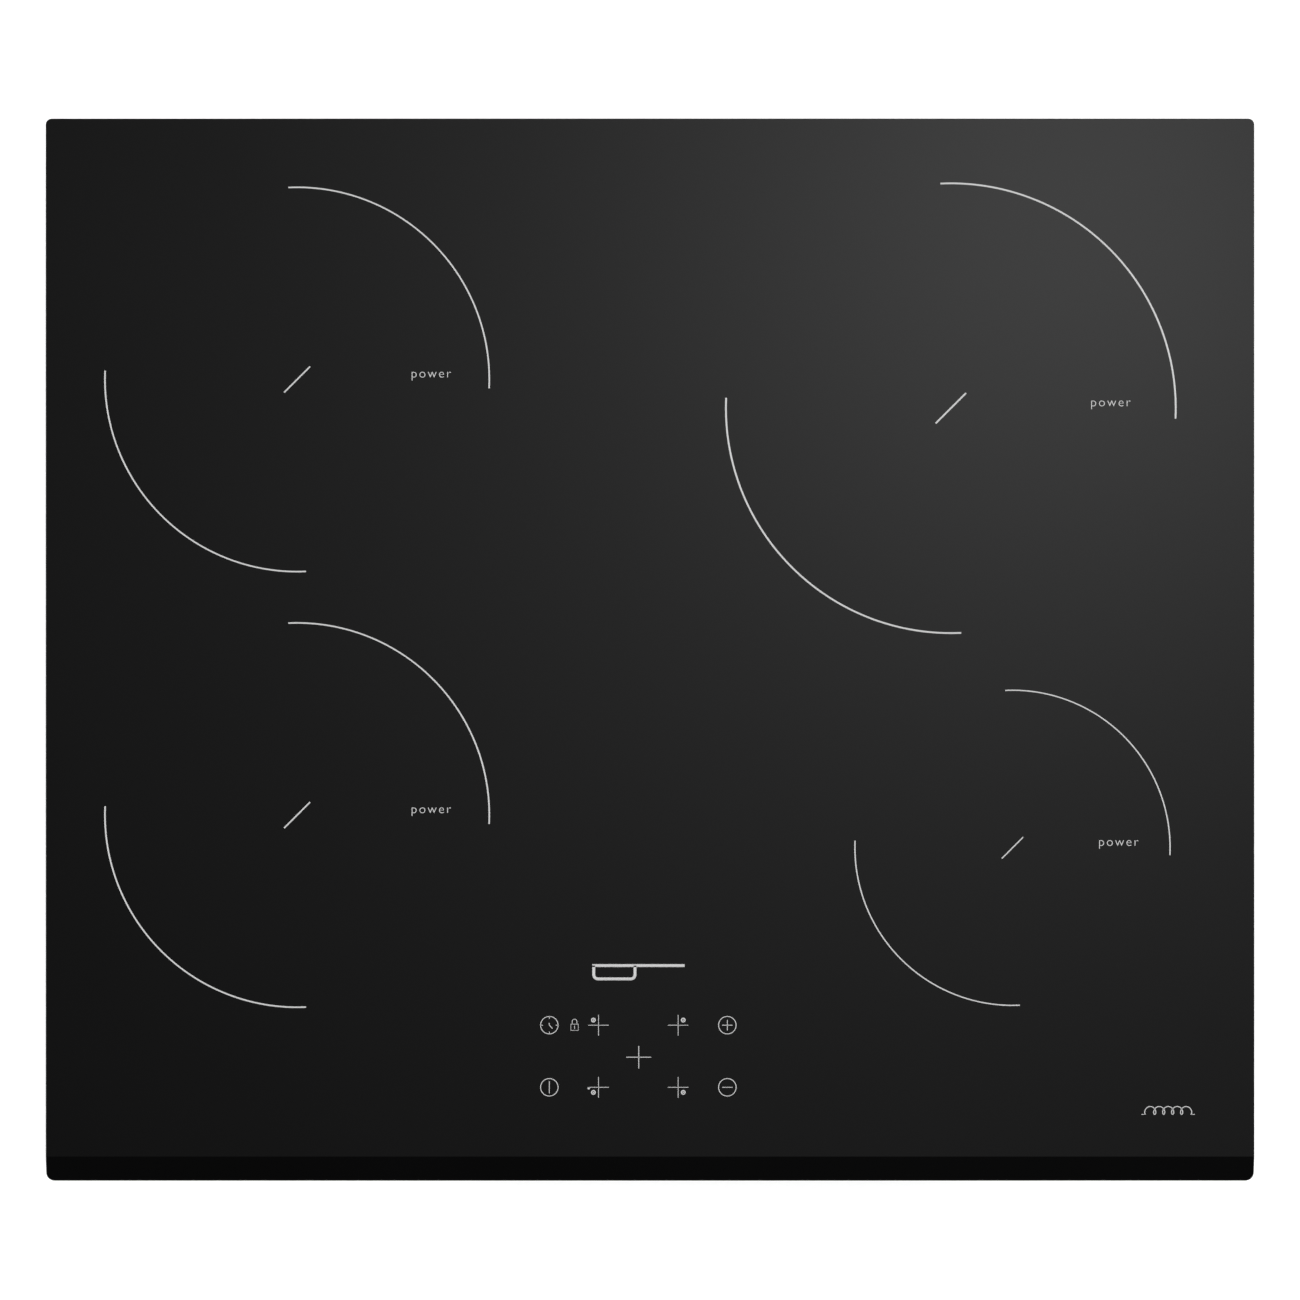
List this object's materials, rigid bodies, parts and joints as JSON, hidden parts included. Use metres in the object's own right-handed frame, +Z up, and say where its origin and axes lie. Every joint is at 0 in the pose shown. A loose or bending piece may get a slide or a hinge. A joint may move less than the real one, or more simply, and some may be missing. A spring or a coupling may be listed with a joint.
{
  "type": "induction cooktop",
  "caption": "Built-in electric induction cooktop: a black glass plate with printed cooking rings and touch keys, bonded over a shallow stepped steel case with coils, power boards and a fan.",
  "frame": {"origin": "centre of the glass in plan, on the worktop's top surface, which is the plane the foam seal rests on", "axes": "+X to the user's right, +Y to the back of the worktop, +Z up, out of the cooking surface"},
  "size_m": [0.58, 0.51, 0.055],
  "materials": {
    "black_glass": "polished black glass-ceramic",
    "print_enamel": "fired light grey enamel",
    "silicone": "black silicone bead",
    "foam": "matt closed-cell foam",
    "galvanised_sheet": "galvanised sheet steel, faintly spangled",
    "zinc_screws": "zinc plated",
    "clamp_steel": "zinc-plated strip",
    "mica": "silvery mica sheet",
    "ferrite": "dense dark grey ferrite",
    "copper_litz": "enamelled stranded copper",
    "coil_plastic": "glass-filled black plastic",
    "sensor_body": "white ceramic",
    "spring_wire": "bright spring wire",
    "tray_aluminium": "mill-finish sheet",
    "sink_aluminium": "extruded",
    "tray_plastic": "moulded black plastic",
    "circuit_board": "green solder mask",
    "transistor_epoxy": "black epoxy",
    "film_capacitor": "blue moulded box",
    "electrolytic_sleeve": "dark sleeve over an aluminium can",
    "choke_copper": "enamelled copper on a ferrite ring",
    "relay_plastic": "black moulded case",
    "header_plastic": "ivory nylon",
    "fan_plastic": "black moulded plastic",
    "motor_steel": "pressed steel",
    "shaft_steel": "ground steel",
    "duct_plastic": "grey moulded plastic",
    "key_contact": "bright contact wire",
    "display_epoxy": "dark red window",
    "ribbon": "grey flat cable",
    "terminal_plastic": "black flame-retardant plastic",
    "terminal_block_plastic": "ivory plastic",
    "terminal_brass": "nickel-free brass",
    "gland_rubber": "black rubber",
    "lead_sleeve": "silicone-sleeved stranded wire"
  },
  "bodies": {
    "hob": {"glass_plate": "black_glass", "glass_bond": "silicone", "worktop_seal": "foam", "support_frame": "galvanised_sheet", "frame_screws": "zinc_screws", "lower_case": "galvanised_sheet", "base_screws": "zinc_screws", "clamp_screws": "zinc_screws", "rivet_nuts": "zinc_screws", "mica_discs": "mica", "ferrite_bars": "ferrite", "temperature_sensors": "sensor_body", "coil_springs": "spring_wire", "coil_tray": "tray_aluminium", "inner_screws": "zinc_screws", "inner_leads": "lead_sleeve", "lead_terminals": "terminal_brass", "left_board_tray": "tray_plastic", "right_board_tray": "tray_plastic", "filter_board_tray": "tray_plastic", "left_power_board": "circuit_board", "right_power_board": "circuit_board", "filter_board": "circuit_board", "left_heat_sink": "sink_aluminium", "right_heat_sink": "sink_aluminium", "power_transistors": "transistor_epoxy", "film_capacitors": "film_capacitor", "electrolytic_capacitors": "electrolytic_sleeve", "toroid_chokes": "choke_copper", "relays": "relay_plastic", "board_connectors": "header_plastic", "processor_chips": "transistor_epoxy", "fan_housing": "fan_plastic", "fan_cover": "fan_plastic", "fan_motor": "motor_steel", "air_duct": "duct_plastic", "control_carrier": "tray_plastic", "touch_board": "circuit_board", "touch_springs": "key_contact", "digit_displays": "display_epoxy", "control_ribbon": "ribbon", "terminal_housing": "terminal_plastic", "terminal_block": "terminal_block_plastic", "terminal_screws": "terminal_brass", "cable_gland": "gland_rubber", "coil_former_rear_left": "coil_plastic", "coil_winding_rear_left": "copper_litz", "coil_former_front_left": "coil_plastic", "coil_winding_front_left": "copper_litz", "coil_former_rear_right": "coil_plastic", "coil_winding_rear_right": "copper_litz", "coil_former_front_right": "coil_plastic", "coil_winding_front_right": "copper_litz"},
    "fan": {"fan_impeller": "fan_plastic", "fan_shaft": "shaft_steel"},
    "terminal_lid": {"terminal_cover": "terminal_plastic"},
    "clamp_rear_left": {"worktop_clamp_rear_left": "clamp_steel"},
    "clamp_rear_right": {"worktop_clamp_rear_right": "clamp_steel"},
    "clamp_front_left": {"worktop_clamp_front_left": "clamp_steel"},
    "clamp_front_right": {"worktop_clamp_front_right": "clamp_steel"}
  },
  "joints": [
    {"name": "fan_spin", "type": "hinge", "parent": "hob", "child": "fan", "pos_m": [0, 0.14, -0.03], "axis": [0, 0, 1], "continuous": true},
    {"name": "terminal_cover_hinge", "type": "hinge", "parent": "hob", "child": "terminal_lid", "pos_m": [0.178, 0.1695, -0.0455], "axis": [-1, 0, 0], "range_deg": [0, 105]},
    {"name": "rear_left_clamp_swivel", "type": "hinge", "parent": "hob", "child": "clamp_rear_left", "pos_m": [-0.266, 0.15, -0.02975], "axis": [0, 0, -1], "range_deg": [0, 90]},
    {"name": "rear_right_clamp_swivel", "type": "hinge", "parent": "hob", "child": "clamp_rear_right", "pos_m": [0.266, 0.15, -0.02975], "axis": [0, 0, 1], "range_deg": [0, 90]},
    {"name": "front_left_clamp_swivel", "type": "hinge", "parent": "hob", "child": "clamp_front_left", "pos_m": [-0.266, -0.15, -0.02975], "axis": [0, 0, 1], "range_deg": [0, 90]},
    {"name": "front_right_clamp_swivel", "type": "hinge", "parent": "hob", "child": "clamp_front_right", "pos_m": [0.266, -0.15, -0.02975], "axis": [0, 0, -1], "range_deg": [0, 90]}
  ]
}
